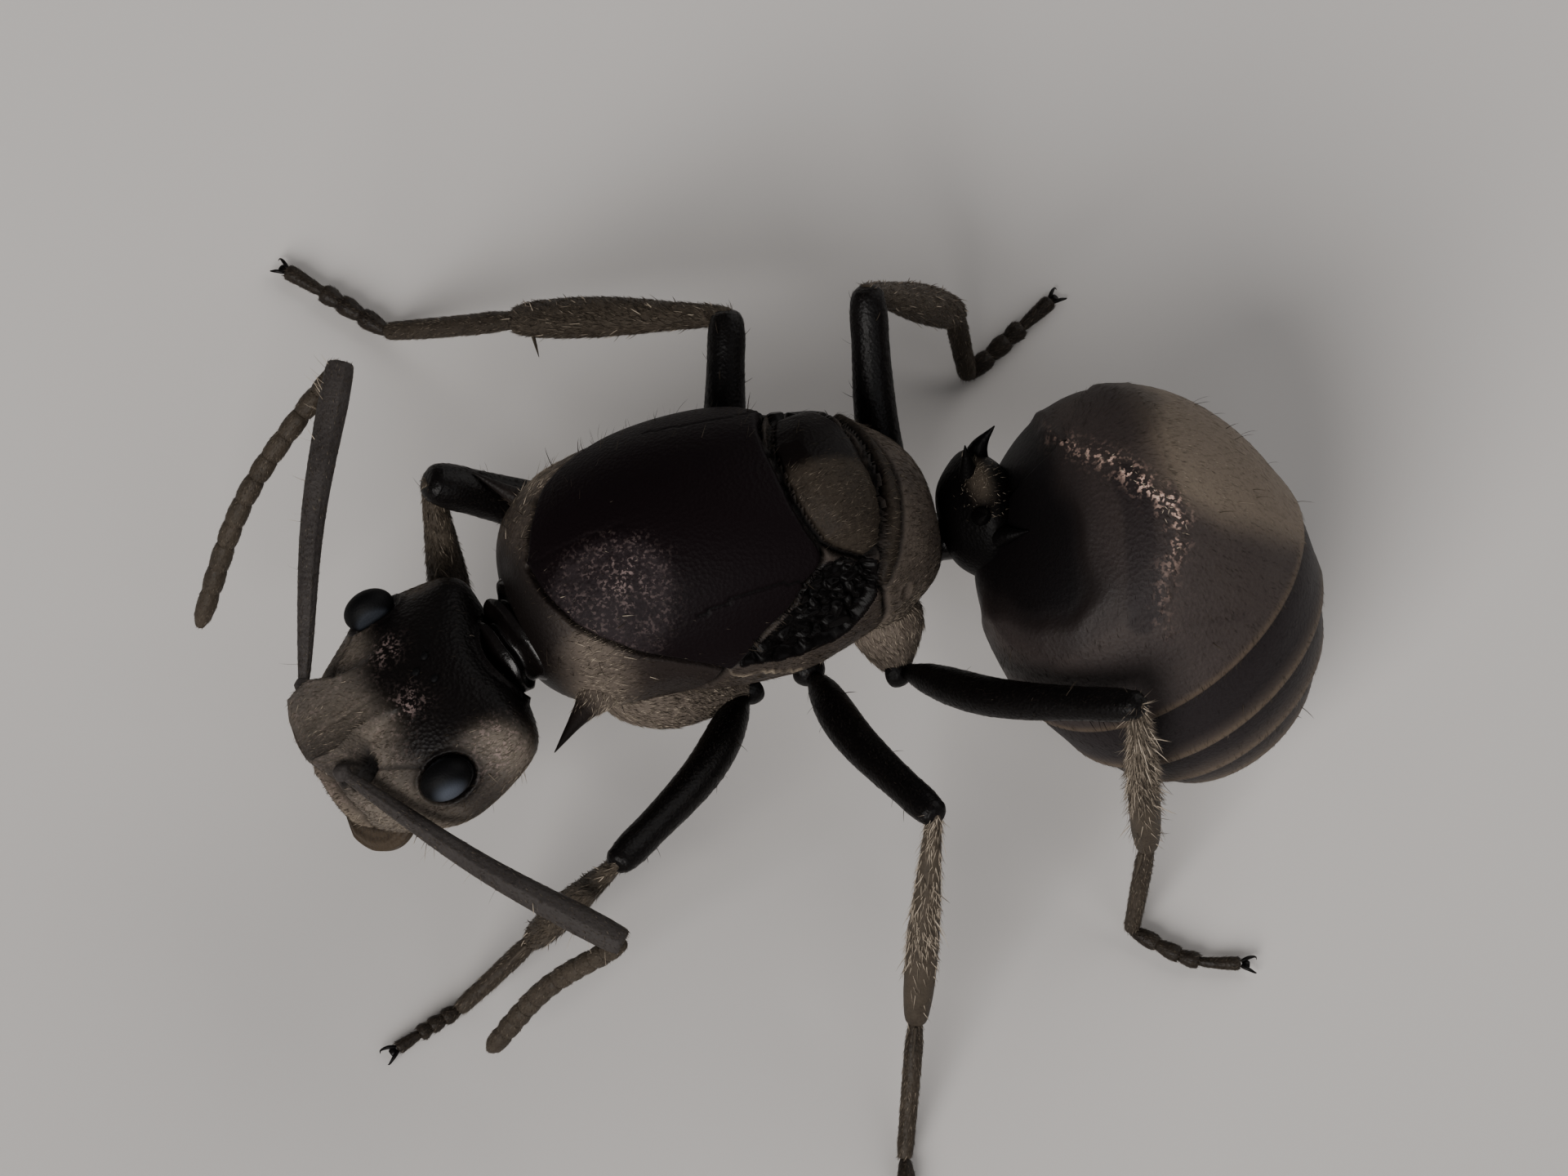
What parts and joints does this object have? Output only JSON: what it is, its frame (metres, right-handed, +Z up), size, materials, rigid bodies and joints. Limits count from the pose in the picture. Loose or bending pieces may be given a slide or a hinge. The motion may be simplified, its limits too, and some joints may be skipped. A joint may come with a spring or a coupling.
{
  "type": "spiny ant queen",
  "caption": "Life-size still model of a black spiny ant queen that has shed her wings, standing with bent legs, elbowed feelers and the rear body curled down",
  "frame": {"origin": "on the floor under the middle of the whole model's box", "axes": "+Z up, the head towards -X and the animal's left side towards -Y"},
  "size_m": [0.0098, 0.011, 0.0039],
  "materials": {
    "black_cuticle": "matte black shell with very fine grain",
    "downy_cuticle": "black shell under short grey-gold down",
    "gaster_cuticle": "olive-brown shell with flat silky down and dark bands",
    "limb_cuticle": "grey-brown shell with short hairs",
    "eye_surface": "glossy black with fine facets"
  },
  "bodies": {
    "root": {"head_capsule": "black_cuticle", "clypeus": "downy_cuticle", "eye_left": "eye_surface", "eye_right": "eye_surface", "mandible_left": "black_cuticle", "mandible_right": "black_cuticle", "neck": "black_cuticle", "pronotum": "downy_cuticle", "mesoscutum": "black_cuticle", "scutellum": "black_cuticle", "metanotum": "black_cuticle", "propodeum": "downy_cuticle", "pleuron_left": "downy_cuticle", "pleuron_right": "downy_cuticle", "scape_left": "limb_cuticle", "flagellum_left": "limb_cuticle", "scape_right": "limb_cuticle", "flagellum_right": "limb_cuticle", "petiole": "black_cuticle", "gaster_segment_1": "gaster_cuticle", "gaster_segment_2": "gaster_cuticle", "gaster_segment_3": "gaster_cuticle", "gaster_segment_4": "gaster_cuticle", "gaster_segment_5": "gaster_cuticle", "left_fore_coxa": "black_cuticle", "left_fore_femur": "black_cuticle", "left_fore_tibia": "limb_cuticle", "left_fore_basitarsus": "limb_cuticle", "left_fore_tarsus_tip": "limb_cuticle", "left_middle_coxa": "black_cuticle", "left_middle_femur": "black_cuticle", "left_middle_tibia": "limb_cuticle", "left_middle_basitarsus": "limb_cuticle", "left_middle_tarsus_tip": "limb_cuticle", "left_hind_coxa": "black_cuticle", "left_hind_femur": "black_cuticle", "left_hind_tibia": "limb_cuticle", "left_hind_basitarsus": "limb_cuticle", "left_hind_tarsus_tip": "limb_cuticle", "right_fore_coxa": "black_cuticle", "right_fore_femur": "black_cuticle", "right_fore_tibia": "limb_cuticle", "right_fore_basitarsus": "limb_cuticle", "right_fore_tarsus_tip": "limb_cuticle", "right_middle_coxa": "black_cuticle", "right_middle_femur": "black_cuticle", "right_middle_tibia": "limb_cuticle", "right_middle_basitarsus": "limb_cuticle", "right_middle_tarsus_tip": "limb_cuticle", "right_hind_coxa": "black_cuticle", "right_hind_femur": "black_cuticle", "right_hind_tibia": "limb_cuticle", "right_hind_basitarsus": "limb_cuticle", "right_hind_tarsus_tip": "limb_cuticle"}
  },
  "joints": []
}
